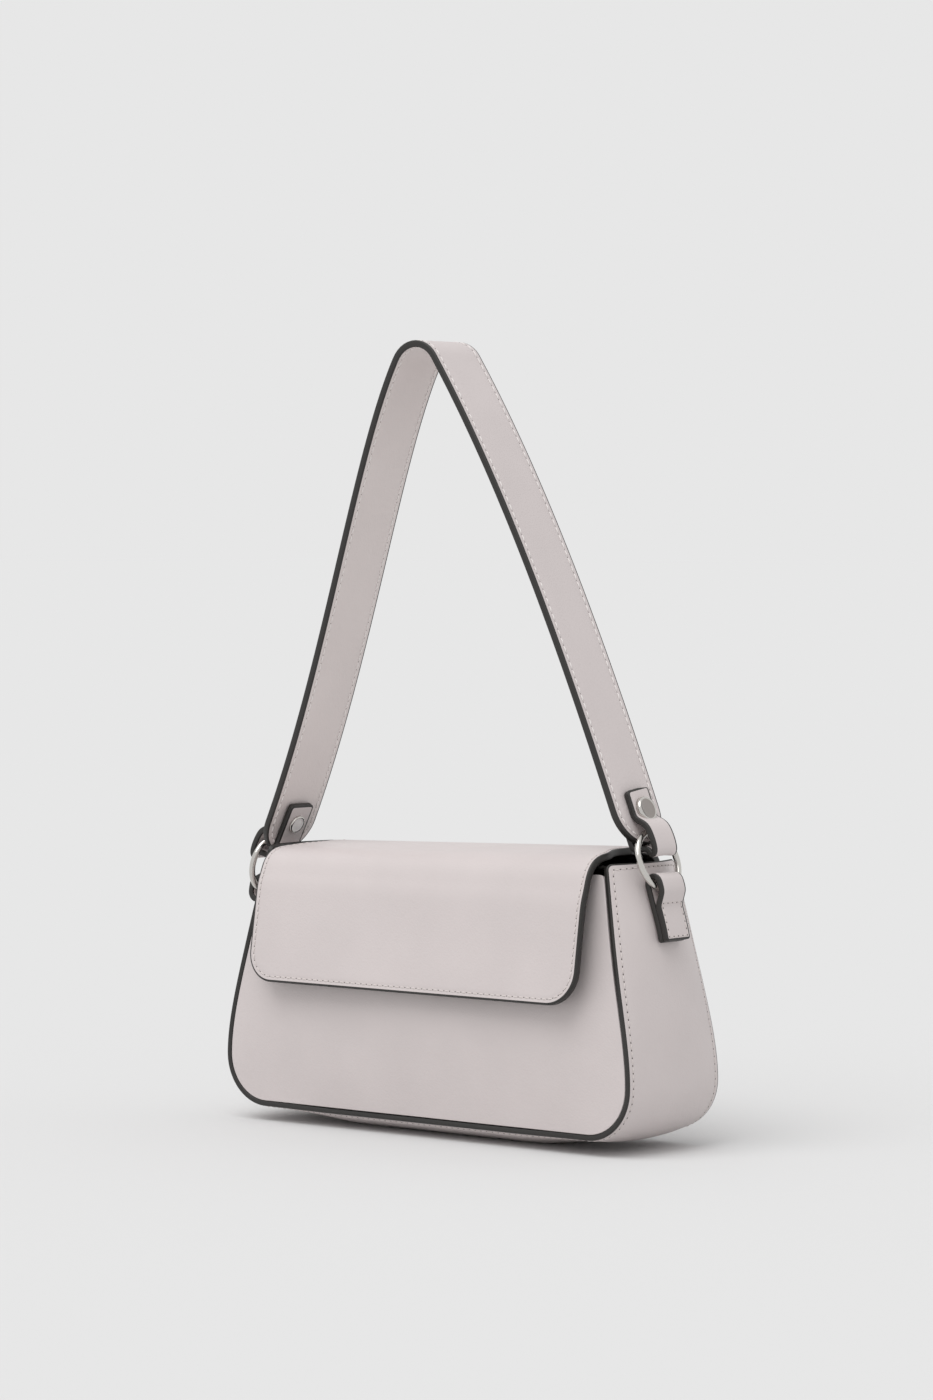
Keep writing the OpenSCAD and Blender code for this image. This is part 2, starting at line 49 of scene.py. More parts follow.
# Driving sizes of the body, in millimetres, as the CAD has them
BODY_H = 134.8
MOUTH_HALF = 104.9
HALF_W = 125.0
CORNER_R = 24.8
EDGE_LIFT = 7.5
MOUTH_D = 50.9
BASE_D = 68.4
WAIST_SWELL = 5.4
MOUTH_FLARE = 0.26
SIDE_HOLLOW = 2.2
PANEL_TOP = 129.7
PANEL_T = 2.0
PANEL_SET_IN = 0.4
PANEL_SWELL = 4.25
PANEL_SWELL_TOP = 110.0
EDGE_GAP = 0.12
GUSSET_T = 2.5
GUSSET_END_R = 3.0
GUSSET_SEW = 3.0
SIDE_SWELL = 9.0
SIDE_SWELL_Z = 100.0
TOP_SWELL = 5.5
CORNER_SWELL = 3.0
BASE_SAG = 8.2
BELLY_Z = EDGE_LIFT + CORNER_R
FLAT_X = HALF_W - CORNER_R

# Flap
FLAP_HALF = 101.2
FLAP_ROOT_HALF = 95.0
FLAP_WIDENS_Y = -1.0
FLAP_WIDENS_OVER = 22.0
FLAP_TOP = 143.75
FLAP_BOTTOM = 70.0
FLAP_BOTTOM_Y = 45.5
FLAP_FRONT_LEAN = 6.3
FLAP_FRONT_DROP = 30.75
FLAP_R = 16.5
FLAP_R_LEFT = 14.5
FLAP_T = 3.6
FLAP_GAP = 0.3
FLAP_SEW = 2.7
FLAP_ROOT_Z = 112.0
SINK = 5.6
SINK_TILT = 0.026
SINK_FROM_Z = 114.0
FOLD_Y = -28.0
FOLD_FULL = 2.8
FOLD_REACH = 17.0
LIFT_Y = 12.0
SEAM_Y = 8.0
SEW_OFF_SEAM = 5.0

# Strap, in x and z; the arch runs between two angles in degrees
STRAP_W = 34.0
STRAP_T = 3.3
STRAP_SEW = 3.2
LEFT_END = np.array([-121.2, 130.0])
LEFT_LEAN = np.array([-77.0, 216.0])
LEFT_BOW = np.array([-59.0, 320.0])
RIGHT_END = np.array([108.2, 142.5])
RIGHT_LEAN = np.array([80.0, 212.0])
RIGHT_BOW = np.array([42.0, 300.0])
ARCH = np.array([-18.6, 363.6])
ARCH_R = 14.0
ARCH_FROM = 154
ARCH_TO = 29

# Tabs at the strap's ends, with their rivets
TAB_W = 16.4
TAB_T = 2.8
TAB_GAP = 0.15
TAB_LEG = STRAP_T / 2 + TAB_T / 2 + TAB_GAP
TAB_END_R = 2.2
TAB_SLANT_OVER = 12.0
CAP_R = 6.1
CAP_H = 2.5
RIVET_BASE_R = 4.75
RIVET_BASE_H = 1.4
RIVET_FOOT = 0.3
RIVET_SHIFT = 1.3
RIVET_AROUND = 56

# Rings and their loops on the gusset; x is counted outwards and a lean is in degrees
RING_R = 14.0
WIRE_R = 1.5
RIGHT_RING = (115.5, 135.5)
RIGHT_RING_LEAN = 20
LEFT_RING = (126.4, 122.9)
LEFT_RING_LEAN = 12
CHAPE_W = 17.5
CHAPE_T = 2.8
CHAPE_END_R = 1.4
CHAPE_BEND_R = 2.2
CHAPE_WALL_Z = (98, 103, 108, 114)
CHAPE_WALL_GAP = 0.25
CHAPE_PLY_GAP = 0.05
CHAPE_WIRE_GAP = 0.85
CHAPE_SEW_HALF = 6.9
CHAPE_SEW_LOW = 1.8
CHAPE_SEW_HIGH = 18.4

# Cut edges, pressed channels, and the width and height of the leather's waves
PAINT = 0.35
BARE_SOFT = 0.03
EDGE_STEPS = 3
CHANNEL_DEPTH = 0.13
CHANNEL_LINES = (-0.9, -0.3, 0.3, 0.9)
CHANNEL_OFF_SEAM = 6.0
PANEL_WAVES = (42, 0.45)
GUSSET_WAVES = (30, 0.7)
FLAP_WAVES = (60, 0.5)

# Sewn threads, and needle holes drawn as small dark lenses of painted shade
THREAD_SHARE = 0.76
THREAD_SLANT = 0.09
THREAD_ARCH = 0.22
THREAD_SUNK = 0.24
THREAD_FLAT = 0.8
THREAD_STEPS = 5
ROUND_STEPS = 8
HOLE_LONG = 0.42
HOLE_WIDE = 0.3
HOLE_RISE = 0.09
HOLE_DROP = 0.2
HOLE_AHEAD = 0.3


# Materials
def srgb(r, g, b):
    return tuple(((c / 255 + 0.055) / 1.055) ** 2.4 if c > 10 else c / 3295 for c in (r, g, b))


def set_inputs(node, values):
    for name, value in values.items():
        node.inputs[name].default_value = value
    return node


def add_node(tree, kind, values=None):
    return set_inputs(tree.nodes.new(kind), values or {})


def new_material(name):
    """A new material with its node tree and its shader."""
    new = bpy.data.materials.new(name)
    new.use_nodes = True
    return new, new.node_tree, new.node_tree.nodes["Principled BSDF"]


def leather_material(name, base, rough=0.47):
    """Fine-grained leather: pores and small creases as bump, and a faint change of tone."""
    new, tree, shader = new_material(name)
    coords = add_node(tree, "ShaderNodeTexCoord")
    pores = add_node(tree, "ShaderNodeTexVoronoi", {"Scale": 1150})
    pores.feature = "SMOOTH_F1"
    creases = add_node(tree, "ShaderNodeTexNoise", {"Scale": 420, "Detail": 6})
    tone = add_node(tree, "ShaderNodeTexNoise", {"Scale": 24, "Detail": 5})
    total = add_node(tree, "ShaderNodeMath")
    total.operation = "ADD"
    bump = add_node(tree, "ShaderNodeBump", {"Strength": 0.16, "Distance": 0.0004})
    limits = {"From Min": 0.3, "From Max": 0.7, "To Min": 0.97, "To Max": 1.03}
    shade = add_node(tree, "ShaderNodeMapRange", limits)
    colour = add_node(tree, "ShaderNodeHueSaturation", {"Color": (*base, 1)})
    for texture in (pores, creases, tone):
        tree.links.new(coords.outputs["Object"], texture.inputs["Vector"])
    tree.links.new(pores.outputs["Distance"], total.inputs[0])
    tree.links.new(creases.outputs["Fac"], total.inputs[1])
    tree.links.new(total.outputs[0], bump.inputs["Height"])
    tree.links.new(tone.outputs["Fac"], shade.inputs["Value"])
    tree.links.new(shade.outputs["Result"], colour.inputs["Value"])
    tree.links.new(colour.outputs["Color"], shader.inputs["Base Color"])
    tree.links.new(bump.outputs["Normal"], shader.inputs["Normal"])
    set_inputs(shader, {"Roughness": rough, "Coat Weight": 0.06, "Coat Roughness": 0.35})
    return new


def plain_material(name, base, rough, metallic=0.0, bump_scale=300, bump_strength=0.1):
    """One colour with a fine bump."""
    new, tree, shader = new_material(name)
    coords = add_node(tree, "ShaderNodeTexCoord")
    texture = add_node(tree, "ShaderNodeTexNoise", {"Scale": bump_scale, "Detail": 4})
    bump = add_node(tree, "ShaderNodeBump", {"Strength": bump_strength, "Distance": 0.0003})
    tree.links.new(coords.outputs["Object"], texture.inputs["Vector"])
    tree.links.new(texture.outputs["Fac"], bump.inputs["Height"])
    tree.links.new(bump.outputs["Normal"], shader.inputs["Normal"])
    set_inputs(shader, {"Base Color": (*base, 1), "Roughness": rough, "Metallic": metallic})
    return new


def thread_material(name, base):
    return plain_material(name, base, 0.7, bump_scale=2500, bump_strength=0.3)


LEATHER = leather_material("pale_leather", srgb(207, 198, 197))
# The same pale leather made lighter for the strap's underside: painted light, making up for the shade that
# side sits in
LIGHTENED_LEATHER = leather_material("pale_leather_lightened_for_shade", srgb(217, 208, 206))
DARK = leather_material("dark_leather", srgb(48, 46, 44), rough=0.6)
EDGE = plain_material("edge_paint", srgb(38, 36, 34), 0.45, bump_scale=900, bump_strength=0.12)
LINING = plain_material("lining_cloth", srgb(26, 26, 27), 0.85, bump_scale=1600, bump_strength=0.4)
BOARD = plain_material("board", srgb(140, 128, 112), 0.8)
MAGNET = plain_material("magnet", (0.08, 0.08, 0.08), 0.4, metallic=0.6)
# Dark brown-grey at the needle holes: painted shade, standing in for the shadow inside each hole
HOLE_SHADE = plain_material("needle_hole", srgb(84, 75, 72), 0.9)
THREAD = thread_material("thread", srgb(214, 206, 203))
PALE_THREAD = thread_material("pale_thread", srgb(232, 227, 225))
NICKEL = plain_material("nickel", (0.62, 0.6, 0.57), 0.17, 1.0, bump_scale=60, bump_strength=0.02)
# The rivet caps' faces: nickel made darker, a painted dark reflection
CAP_DARK_REFLECTION = plain_material("rivet_cap_painted_dark_reflection", (0.36, 0.33, 0.31), 0.24, 1.0, bump_scale=60, bump_strength=0.02)
# The rivet bases' faces: a pale non-metal in place of nickel, a painted highlight
BASE_HIGHLIGHT = plain_material("rivet_base_painted_highlight", (0.93, 0.9, 0.89), 0.35, bump_scale=60, bump_strength=0.02)


# Plain geometry helpers
def unit(v):
    return v / np.linalg.norm(v)


def clamp(value, low, high):
    return min(max(value, low), high)


def ease(a, b, t):
    """From a to b while t goes from 0 to 1, slow at both ends."""
    return a + (b - a) * (1 - math.cos(math.pi * clamp(t, 0.0, 1.0))) / 2


def bezier(controls, count):
    t = np.linspace(0, 1, count + 1)[:, None]
    u = 1 - t
    a, b, c, d = [np.array(q, float) for q in controls]
    return u**3 * a + 3 * u * u * t * b + 3 * u * t * t * c + t**3 * d


def on_arc(centre, r, degrees):
    """Points of an arc in a plane, one for each angle."""
    return [centre + r * np.array([math.cos(a), math.sin(a)]) for a in np.radians(degrees)]


def lengths_along(points):
    """The length of a line up to each of its points."""
    return np.concatenate([[0], np.cumsum(np.linalg.norm(np.diff(points, axis=0), axis=1))])


class Path:
    """A smooth line in a plane, measured by its length; left() is the side on the left of its run."""

    def __init__(self, points, step=0.5):
        points = np.array(points, float)
        keep = [0]
        for i in range(1, len(points)):
            if np.linalg.norm(points[i] - points[keep[-1]]) > 1e-6:
                keep.append(i)
        points = points[keep]
        lengths = lengths_along(points)
        self.length = lengths[-1]
        count = max(8, int(self.length / step))
        self.s = np.linspace(0, self.length, count + 1)
        self.p = np.stack([np.interp(self.s, lengths, points[:, k]) for k in (0, 1)], 1)
        for _ in range(6):
            self.p[1:-1] = 0.25 * self.p[:-2] + 0.5 * self.p[1:-1] + 0.25 * self.p[2:]
        self.t = np.gradient(self.p, self.s, axis=0)
        self.t /= np.linalg.norm(self.t, axis=1)[:, None]

    def at(self, s):
        return np.array([np.interp(s, self.s, self.p[:, k]) for k in (0, 1)])

    def along(self, s):
        return unit(np.array([np.interp(s, self.s, self.t[:, k]) for k in (0, 1)]))

    def left(self, s):
        t = self.along(s)
        return np.array([-t[1], t[0]])


def mesh_object(name, verts, faces, mats, face_mats):
    mesh = bpy.data.meshes.new(name)
    mesh.from_pydata([tuple(float(c) * MM for c in v) for v in verts], [], faces)
    for m in mats:
        mesh.materials.append(m)
    mesh.polygons.foreach_set("material_index", face_mats)
    mesh.polygons.foreach_set("use_smooth", [True] * len(mesh.polygons))
    mesh.update()
    obj = bpy.data.objects.new(name, mesh)
    bpy.context.scene.collection.objects.link(obj)
    return obj


def tube_faces(rings, start=0, around=ROUND_STEPS):
    """Faces along a tube, whose rings of points follow one another from point start on."""
    return [(p + k, p + (k + 1) % around, p + around + (k + 1) % around, p + around + k)
            for p in range(start, start + (rings - 1) * around, around) for k in range(around)]


# Outlines in the flat
def inset(outline, d):
    """The closed outline moved inwards by d; it runs anticlockwise."""
    ahead = np.roll(outline, -1, axis=0) - outline
    behind = outline - np.roll(outline, 1, axis=0)
    na = np.stack([-ahead[:, 1], ahead[:, 0]], 1)
    nb = np.stack([-behind[:, 1], behind[:, 0]], 1)
    na /= np.linalg.norm(na, axis=1)[:, None]
    nb /= np.linalg.norm(nb, axis=1)[:, None]
    mid = na + nb
    return outline + d * mid * (2 / (mid**2).sum(1))[:, None]


def channel(outline, d):
    """The outline moved inwards by d, with the loops cut off that a tight corner would make."""
    moved = inset(outline, d)
    run = np.roll(outline, -1, axis=0) - outline
    rel = moved[:, None, :] - outline[None]
    t = np.clip((rel * run[None]).sum(2) / (run**2).sum(1)[None], 0, 1)
    gap = np.linalg.norm(rel - t[:, :, None] * run[None], axis=2).min(1)
    return moved[gap > d - 0.03]


def inside(points, outline):
    """Which points lie inside the outline."""
    hit = np.zeros(len(points), bool)
    for p, q in zip(outline, np.roll(outline, -1, axis=0)):
        cross = (p[1] > points[:, 1]) != (q[1] > points[:, 1])
        with np.errstate(divide="ignore", invalid="ignore"):
            x = (q[0] - p[0]) * (points[:, 1] - p[1]) / (q[1] - p[1]) + p[0]
        hit ^= cross & (points[:, 0] < x)
    return hit


def rounded_corner(corner, before, after, r, step):
    """Points of the arc that rounds a corner between its two neighbours."""
    u, w = unit(before - corner), unit(after - corner)
    half = math.acos(clamp(float(u @ w), -1, 1)) / 2
    reach = r / math.tan(half)
    centre = corner + unit(u + w) * r / math.sin(half)
    a, b = corner + u * reach - centre, corner + w * reach - centre
    turn = math.atan2(a[0] * b[1] - a[1] * b[0], a @ b)
    count = max(3, int(r * (math.pi - 2 * half) / max(0.35, min(step, r / 3))))
    points = []
    for k in range(count + 1):
        cos, sin = math.cos(turn * k / count), math.sin(turn * k / count)
        points.append(centre + np.array([a[0] * cos - a[1] * sin, a[0] * sin + a[1] * cos]))
    return points


def strip_outline(length, width, r, step):
    """A closed anticlockwise strip from 0 to length, with rounded corners."""
    h = width / 2
    corners = [np.array(c, float) for c in ((0, -h), (length, -h), (length, h), (0, h))]
    line = []
    for i, corner in enumerate(corners):
        line += rounded_corner(corner, corners[i - 1], corners[(i + 1) % 4], r, step)
    dense = []
    for p, q in zip(line, line[1:] + line[:1]):
        count = max(1, int(np.linalg.norm(q - p) / step))
        dense += [p + (q - p) * k / count for k in range(count)]
    return np.array(dense)


# Leather
def fill_points(outline, line, step):
    """A grid over the outline, without what lies outside the line or close to it."""
    low, high = outline.min(0), outline.max(0)
    across, up = np.arange(low[0], high[0], step[0]), np.arange(low[1], high[1], step[1])
    grid = np.array([(x, y) for x in across for y in up])
    return grid[inside(grid, inset(line, 0.55 * min(step)))]


def flat_mesh(name, loops, fill):
    """Triangles between closed loops and fill points, and for each point the loops that it lies on.
    The first loop is the border."""
    points = [Vector(p) for loop in loops for p in loop] + [Vector(p) for p in fill]
    starts = np.concatenate([[0], np.cumsum([len(loop) for loop in loops])])
    edges = [(a + i, a + (i + 1) % len(loop)) for a, loop in zip(starts, loops) for i in range(len(loop))]
    count = len(loops[0])
    flat, _, triangles, source, _, _ = delaunay_2d_cdt(points, edges, [list(range(count))], 1, 1e-5)
    assert source[:count] == [[i] for i in range(count)], f"{name}: the flat pattern crosses itself"
    member = [{int(np.searchsorted(starts, i, "right")) - 1 for i in ids} for ids in source]
    return np.array([tuple(p) for p in flat]), triangles, member


def cut_edge(outline, surface, t, softness):
    """Points of the rounded cut edge: rings from the upper face down to the lower one."""
    angles = [math.pi / 2 * k / EDGE_STEPS for k in range(1, EDGE_STEPS + 1)]
    upper = [(1 - math.sin(a), 0, 1 - math.cos(a)) for a in angles]
    rings = upper + [(share, t, -drop) for share, _, drop in reversed(upper)]
    points = []
    for share, level, drop in rings:
        for p, size in zip(inset(outline, softness * share), softness[:, 0]):
            q, normal = surface(*p)
            points.append(q - normal * (level + drop * size))
    return points


def leather(name, outline, surface, t, step, soft, groove=None, mats=None, seam=None, paint=PAINT):
    """A piece of leather cut to an outline in the flat; surface(u, v) gives a point and its normal.
    The upper face lies on the surface and the lower face t below it. The cut edge between them is
    rounded by soft and painted, and the paint reaches onto the faces by the width paint. step is
    the grid's, groove is how far from the edge a stitched channel runs, and mats are the upper
    face's, the edge's and the lower face's. Along seam, a value of v, the edge stays sharp and bare,
    because the same leather goes on there in another piece."""
    count = len(outline)
    bare = np.zeros(count, bool) if seam is None else np.abs(outline[:, 1] - seam) < 0.01
    softness = np.where(bare, BARE_SOFT, soft)[:, None]
    lines = [groove + off for off in CHANNEL_LINES] if groove else [soft + paint + 0.5]
    loops = [inset(outline, softness)] + [channel(outline, d) for d in [soft + paint] + lines]
    flat, triangles, member = flat_mesh(name, loops, fill_points(outline, loops[-1], step))
    from_seam = np.full(len(flat), np.inf) if seam is None else np.abs(flat[:, 1] - seam)
    pressed = np.array([bool(groove and on & {3, 4}) for on in member])
    sink = np.where(pressed & (from_seam >= CHANNEL_OFF_SEAM), CHANNEL_DEPTH, 0.0)
    by_edge = np.array([bool(on & {0, 1}) for on in member]) & (from_seam > 0.5 * (soft + paint))
    where = [surface(*p) for p in flat]
    verts = [p - normal * d for (p, normal), d in zip(where, sink)]
    verts += [p - normal * t for p, normal in where]
    low = len(flat)
    faces = [tuple(f) for f in triangles] + [tuple(low + i for i in reversed(f)) for f in triangles]
    painted = [int(by_edge[list(f)].all()) for f in triangles]
    face_mats = painted + [2 - a for a in painted]
    rings = [0] + [len(verts) + count * k for k in range(2 * EDGE_STEPS)] + [low]
    verts += cut_edge(outline, surface, t, softness)
    for a, b in zip(rings, rings[1:]):
        faces += [(a + k, b + k, b + (k + 1) % count, a + (k + 1) % count) for k in range(count)]
        face_mats += [0 if bare[k] and bare[(k + 1) % count] else 1 for k in range(count)]
    return mesh_object(name, verts, faces, mats or (LEATHER, EDGE, LEATHER), face_mats)


# Sewing
def thread_points(a, normal_a, b, normal_b, r, lift):
    """One thread from a to b on the leather, arched and a little aslant, in rings from end to end."""
    size = np.linalg.norm(b - a)
    axis = (b - a) / size
    up = unit(normal_a + normal_b)
    up = unit(up - axis * (up @ axis))
    side = np.cross(axis, up)
    points = []
    for f in (i / THREAD_STEPS for i in range(THREAD_STEPS + 1)):
        thick = r * math.sin(math.pi * clamp(f, 0.04, 0.96)) ** 0.45
        centre = a + axis * size * f + side * THREAD_SLANT * size * (f - 0.5)
        centre = centre + up * (lift + THREAD_ARCH * math.sin(math.pi * f) - THREAD_SUNK)
        for g in (2 * math.pi * j / ROUND_STEPS for j in range(ROUND_STEPS)):
            points.append(centre + thick * (side * math.cos(g) + up * THREAD_FLAT * math.sin(g)))
    return points


def thread_faces(start):
    """A tube with both its ends closed."""
    faces = tube_faces(THREAD_STEPS + 1, start)
    faces.append(tuple(start + j for j in reversed(range(ROUND_STEPS))))
    faces.append(tuple(start + THREAD_STEPS * ROUND_STEPS + j for j in range(ROUND_STEPS)))
    return faces


def hole_points(centre, up, axis, sink, size):
    """The painted shade of a needle hole: a flat dark lens, lengthwise along axis, with a point above and
    a point below.
    """
    side = unit(np.cross(axis, up))
    points = [centre + up * (sink + HOLE_RISE), centre + up * (sink - HOLE_DROP)]
    for g in (2 * math.pi * j / ROUND_STEPS for j in range(ROUND_STEPS)):
        rim = HOLE_LONG * axis * math.cos(g) + HOLE_WIDE * side * math.sin(g)
        points.append(centre + up * sink + size * rim)
    return points


def hole_faces(start):
    faces = []
    for j in range(ROUND_STEPS):
        p, q = start + 2 + j, start + 2 + (j + 1) % ROUND_STEPS
        faces += [(start, q, p), (start + 1, p, q)]
    return faces


def stitches(name, line, surface, pitch, r, closed=False, lift=0.05, sink=-0.06, hole=1.0, thread=THREAD):
    """Sewn threads along a line in the flat, each half sunk into the leather, and small dark lenses of
    painted shade at the needle holes.
    """
    line = np.array(line, float)
    if closed:
        line = np.vstack([line, line[:1]])
    lengths = lengths_along(line)
    count = max(1, int(round(lengths[-1] / pitch)))
    real = lengths[-1] / count
    half = THREAD_SHARE * real / 2

    def on_line(s):
        return surface(*(np.interp(s, lengths, line[:, c]) for c in (0, 1)))

    verts, faces = [], []
    for k in range(count):
        mid = (k + 0.5) * real
        faces += thread_faces(len(verts))
        verts += thread_points(*on_line(mid - half), *on_line(mid + half), r, lift)
    face_mats = [0] * len(faces)
    # A dark lens of painted shade at each needle hole
    for k in range(count if closed else count + 1):
        centre, up = on_line(k * real)
        ahead = on_line(k * real + HOLE_AHEAD)[0] - centre
        if np.linalg.norm(ahead) > 1e-6:
            faces += hole_faces(len(verts))
            verts += hole_points(centre, up, unit(ahead), sink, hole)
    face_mats += [1] * (len(faces) - len(face_mats))
    return mesh_object(name, verts, faces, [thread, HOLE_SHADE], face_mats)


# Body shape, the same as in the CAD
def side_x(z):
    """How far out the body's side edge stands at a height above its rounded corner."""
    length = BODY_H - BELLY_Z
    t = clamp((BODY_H - z) / length, 0, 1)
    start = 2 * t**3 - 3 * t * t + 1
    slope = t**3 - 2 * t * t + t
    hollow = SIDE_HOLLOW * 16 * t * t * (1 - t) ** 2
    return start * MOUTH_HALF + slope * length * MOUTH_FLARE + (1 - start) * HALF_W - hollow


def outline_x(z, gap):
    if z >= BELLY_Z:
        return side_x(z) - gap
    return FLAT_X + math.sqrt(max(0, (CORNER_R - gap) ** 2 - (BELLY_Z - z) ** 2))


def depth(z):
    """The body's depth at a height, from the mouth's to the base's, and fuller in between."""
    s = (BODY_H - z) / (BODY_H - EDGE_LIFT)
    return MOUTH_D + (BASE_D - MOUTH_D) * s + WAIST_SWELL * 4 * s * (1 - s)


def ripple(x, y, z, waves):
    """A slight unevenness, as soft leather has."""
    width, height = waves
    return height * noise.noise(Vector((x / width, y / width, z / width)))


# Front and back panels; side is -1 at the front and 1 at the back
def panel_y(x, z, side):
    """How far a panel's outer face lies from the middle of the bag."""
    k = clamp((z - EDGE_LIFT) / (PANEL_SWELL_TOP - EDGE_LIFT), 0, 1)
    w = clamp(x / outline_x(z, GUSSET_T), -1, 1)
    swell = PANEL_SWELL * math.sin(math.pi * k) * (1 - w * w)
    return depth(z) / 2 - PANEL_SET_IN + swell + (1 - w**8) * ripple(x, 40 * side, z, PANEL_WAVES)


def panel_surface(side):
    def surface(x, z):
        e = 0.5
        dx = (panel_y(x + e, z, side) - panel_y(x - e, z, side)) / (2 * e)
        dz = (panel_y(x, z + e, side) - panel_y(x, z - e, side)) / (2 * e)
        return np.array([x, side * panel_y(x, z, side), z]), unit(np.array([-dx, side, -dz]))
    return surface


def panel_outline(gap):
    """Closed anticlockwise outline of the front and back panels, in x and z."""
    r = CORNER_R - gap
    corner = [(FLAT_X + r * math.sin(a), BELLY_Z - r * math.cos(a))
              for a in np.linspace(0, math.pi / 2, 22)[:-1]]
    side = [(outline_x(z, gap), z) for z in np.linspace(BELLY_Z, PANEL_TOP - 3, 60)]
    end = outline_x(PANEL_TOP, gap)
    curve = [(end + 0.1, PANEL_TOP - 1.6), (end - 0.7, PANEL_TOP - 0.5), (end - 2.4, PANEL_TOP)]
    half = corner + side + curve
    top = [(x, PANEL_TOP) for x in np.linspace(end - 4, -end + 4, 100)]
    base = [(x, EDGE_LIFT + gap) for x in np.linspace(-FLAT_X, FLAT_X, 110)[1:-1]]
    return np.array(base + half + top + [(-x, z) for x, z in reversed(half)])


def build_panels():
    outline = panel_outline(GUSSET_T + EDGE_GAP)
    mats = (LEATHER, LEATHER, LEATHER)
    front = panel_surface(-1)
    back = panel_surface(1)
    for name, surface, node in (
        ("panel_front", front, "front_panel"),
        ("panel_back", lambda u, v: back(-u, v), "back_panel"),
    ):
        obj = leather(name, outline, surface, PANEL_T, step=(4, 4), soft=0.3, mats=mats)
        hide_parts(node)
        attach(obj, "bag")


# Gusset
def gusset_path():
    """Down one side, under the base and up the other side, in x and z."""
    side = [(side_x(z), z) for z in np.linspace(BODY_H, BELLY_Z, 80)]
    corner = [(FLAT_X + CORNER_R * math.cos(a), BELLY_Z - CORNER_R * math.sin(a))
              for a in np.linspace(0, math.pi / 2, 40)[1:]]
    base = [(x, EDGE_LIFT) for x in np.linspace(FLAT_X, 0, 40)[1:]]
    half = side + corner + base
    return Path(half + [(-x, z) for x, z in reversed(half[:-1])])


GUSSET_PATH = gusset_path()


def gusset_swell(x, z):
    """How far the gusset's middle stands out from its edges."""
    if z > SIDE_SWELL_Z:
        return ease(SIDE_SWELL, TOP_SWELL, (z - SIDE_SWELL_Z) / (BODY_H - SIDE_SWELL_Z))
    if z >= BELLY_Z:
        return ease(CORNER_SWELL, SIDE_SWELL, (z - BELLY_Z) / (SIDE_SWELL_Z - BELLY_Z))
    if z > EDGE_LIFT + 0.3:
        return CORNER_SWELL
    return ease(BASE_SAG, CORNER_SWELL, (abs(x) - FLAT_X / 2) / (FLAT_X / 2))


def gusset_point(s, y):
    """The swell's direction turns level over the last 6 mm below the mouth."""
    x, z = GUSSET_PATH.at(s)
    out = GUSSET_PATH.left(s)
    if z > BODY_H - 6:
        out = unit(np.array([out[0], out[1] * min(1, (BODY_H - z) / 6)]))
    v = 2 * y / depth(z)
    full = max(0.0, 1 - v * v)
    off = gusset_swell(x, z) * full + ripple(x, y, z, GUSSET_WAVES) * full * (z > 20)
    return np.array([x + out[0] * off, y, max(z + out[1] * off, 0.0)])


def gusset_surface(s, y):
    e = 0.6
    along = gusset_point(min(s + e, GUSSET_PATH.length), y) - gusset_point(max(s - e, 0), y)
    across = gusset_point(s, y + e) - gusset_point(s, y - e)
    return gusset_point(s, y), unit(np.cross(along, across))


def gusset_outline():
    """Anticlockwise, with u along the gusset and v across it; the corners at the mouth are rounded."""
    length = GUSSET_PATH.length
    half = depth(BODY_H) / 2
    r = GUSSET_END_R
    corner = []
    for a in np.linspace(math.pi / 2, 0, 7):
        u = r - r * math.cos(a)
        corner.append((u, depth(GUSSET_PATH.at(u)[1]) / 2 - r + r * math.sin(a)))
    across = [(0, y) for y in np.linspace(half - r, -half + r, 30)[1:-1]]
    cap = corner + across + [(u, -v) for u, v in reversed(corner)]
    far_cap = [(length - u, -v) for u, v in cap]
    side = [(u, depth(GUSSET_PATH.at(u)[1]) / 2) for u in np.linspace(r + 0.2, length - r - 0.2, 330)]
    return np.array(cap[:-1] + [(u, -v) for u, v in side] + far_cap[1:-1] + side[::-1])


def build_gusset():
    outline = gusset_outline()
    look = {"step": (3, 3), "soft": 0.5, "groove": GUSSET_SEW}
    obj = leather("side_gusset", outline, gusset_surface, GUSSET_T, **look)
    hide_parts("gusset")
    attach(obj, "bag")
    line = channel(outline, GUSSET_SEW)
    sewn = stitches("gusset_stitches", line, gusset_surface, pitch=3.5, r=0.33, closed=True)
    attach(sewn, "bag")


# Flap
def flap_path():
    """From the flap's root at the back, over the crown and down the front, in y and z."""
    front_y = FLAP_BOTTOM_Y - FLAP_FRONT_LEAN
    front_z = FLAP_TOP - FLAP_FRONT_DROP
    root_y = panel_surface(1)(0, FLAP_ROOT_Z)[0][1] + FLAP_T + FLAP_GAP
    rim_y = depth(PANEL_TOP) / 2 - PANEL_SET_IN + FLAP_T + FLAP_GAP
    back = [(rim_y, PANEL_TOP), (rim_y - 0.8, PANEL_TOP + 9.5), (23, FLAP_TOP), (LIFT_Y, FLAP_TOP)]
    fold = [(-8, FLAP_TOP - 0.35), (-26.5, FLAP_TOP - 0.75), (-36.6, front_z + 18), (-front_y, front_z)]
    start, end = (root_y, FLAP_ROOT_Z), (-FLAP_BOTTOM_Y, FLAP_BOTTOM)
    return Path([start, *bezier(back, 30), *bezier(fold, 40), end])


FLAP_PATH = flap_path()


def crown_length(y, lowest):
    """How far along the flap's path its crown, which lies above lowest, passes y."""
    off = np.abs(FLAP_PATH.p[:, 0] - y) + 9 * (FLAP_PATH.p[:, 1] < lowest)
    return float(FLAP_PATH.s[np.argmin(off)])


SEAM_S = crown_length(SEAM_Y, 140)
FOLD_S = crown_length(FOLD_Y, 130)


def flap_half(s):
    y = FLAP_PATH.at(s)[0]
    return ease(FLAP_ROOT_HALF, FLAP_HALF, (FLAP_WIDENS_Y - y) / FLAP_WIDENS_OVER)


